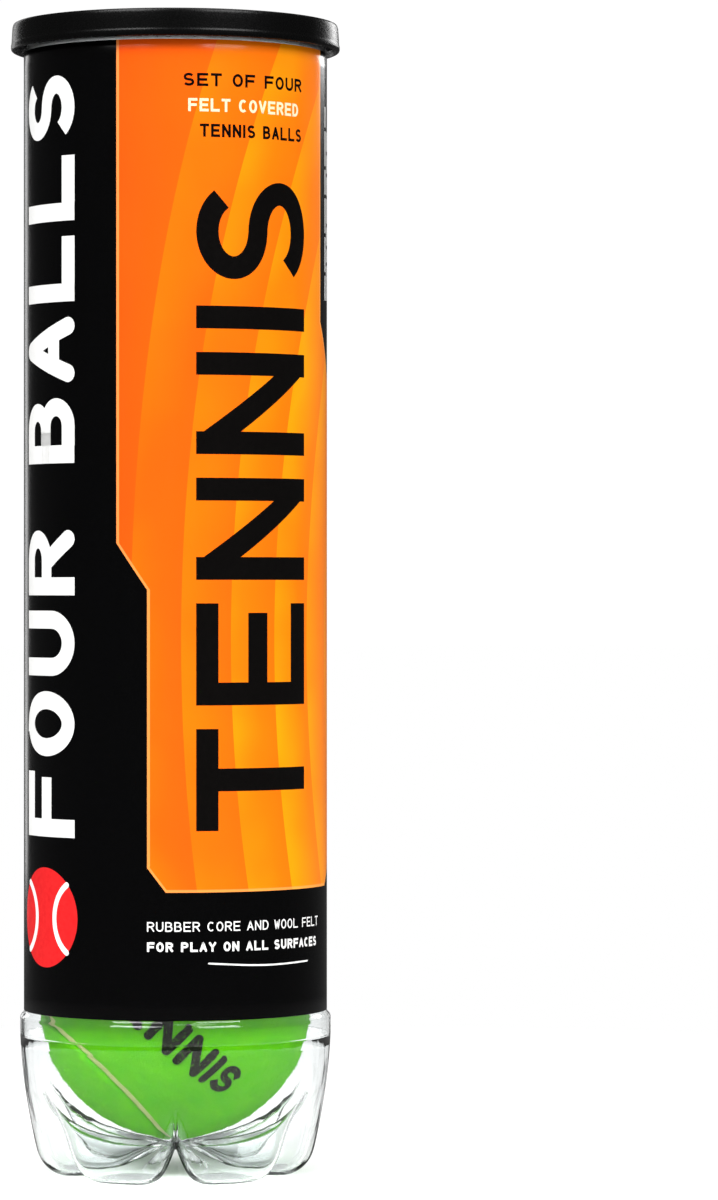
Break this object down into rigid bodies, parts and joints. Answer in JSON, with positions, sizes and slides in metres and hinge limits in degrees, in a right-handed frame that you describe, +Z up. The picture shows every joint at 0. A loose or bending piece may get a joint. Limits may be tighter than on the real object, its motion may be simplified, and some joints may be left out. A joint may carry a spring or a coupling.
{
  "type": "tennis ball can",
  "caption": "Clear bottle-shaped can of tennis balls on a petal base, with a printed wrap, a ring-pull metal end and a press-on plastic cap.",
  "frame": {"origin": "centre of the circle of feet, on the surface the can stands on", "axes": "+Z up along the can's axis; -Y is the front, where a valley of the base lies between two feet and the print's main panel begins; +X is to the right of the front, and the ring-pull's nose points to it"},
  "size_m": [0.0802, 0.0802, 0.2799],
  "materials": {
    "clear_plastic": "gloss",
    "printed_wrap": "gloss",
    "compound": "matte",
    "end_metal": "satin",
    "cap_plastic": "satin",
    "ball_rubber": "matte",
    "ball_felt": "matte",
    "ball_seam": "matte"
  },
  "bodies": {
    "can": {"can_bottle": "clear_plastic", "wrap": "printed_wrap", "seam_compound": "compound", "end_rim": "end_metal"},
    "cap": {"cap": "cap_plastic"},
    "tear_panel": {"tear_panel": "end_metal", "tab_island": "end_metal"},
    "pull_ring": {"pull_ring": "end_metal"},
    "ball_1": {"ball_1_shell_upper": "ball_rubber", "ball_1_shell_lower": "ball_rubber", "ball_1_felt_a": "ball_felt", "ball_1_felt_b": "ball_felt", "ball_1_seam": "ball_seam"},
    "ball_2": {"ball_2_shell_upper": "ball_rubber", "ball_2_shell_lower": "ball_rubber", "ball_2_felt_a": "ball_felt", "ball_2_felt_b": "ball_felt", "ball_2_seam": "ball_seam"},
    "ball_3": {"ball_3_shell_upper": "ball_rubber", "ball_3_shell_lower": "ball_rubber", "ball_3_felt_a": "ball_felt", "ball_3_felt_b": "ball_felt", "ball_3_seam": "ball_seam"},
    "ball_4": {"ball_4_shell_upper": "ball_rubber", "ball_4_shell_lower": "ball_rubber", "ball_4_felt_a": "ball_felt", "ball_4_felt_b": "ball_felt", "ball_4_seam": "ball_seam"}
  },
  "joints": [
    {"name": "ball_1_lift", "type": "slide", "parent": "can", "child": "ball_1", "axis": [0, 0, 1], "range_m": [0, 0.278]},
    {"name": "ball_2_lift", "type": "slide", "parent": "can", "child": "ball_2", "axis": [0, 0, 1], "range_m": [0, 0.282]},
    {"name": "ball_3_lift", "type": "slide", "parent": "can", "child": "ball_3", "axis": [0, 0, 1], "range_m": [0, 0.286]},
    {"name": "ball_4_lift", "type": "slide", "parent": "can", "child": "ball_4", "axis": [0, 0, 1], "range_m": [0, 0.29]},
    {"name": "panel_lift", "type": "slide", "parent": "can", "child": "tear_panel", "axis": [0, 0, 1], "range_m": [0, 0.3]},
    {"name": "cap_lift", "type": "slide", "parent": "can", "child": "cap", "axis": [0, 0, 1], "range_m": [0, 0.36]},
    {"name": "ring_hinge", "type": "hinge", "parent": "tear_panel", "child": "pull_ring", "pos_m": [0.0307, 0, 0.27495], "axis": [0, 1, 0], "range_deg": [0, 75]}
  ],
  "couplings": [
    {"joint": "ball_2_lift", "follows": "ball_1_lift", "ratio": 1.0143},
    {"joint": "ball_3_lift", "follows": "ball_1_lift", "ratio": 1.0287},
    {"joint": "ball_4_lift", "follows": "ball_1_lift", "ratio": 1.043},
    {"joint": "panel_lift", "follows": "ball_1_lift", "ratio": 1.079},
    {"joint": "cap_lift", "follows": "ball_1_lift", "ratio": 1.2949},
    {"joint": "ring_hinge", "follows": "ball_1_lift", "rad_per_m": 4.7}
  ]
}
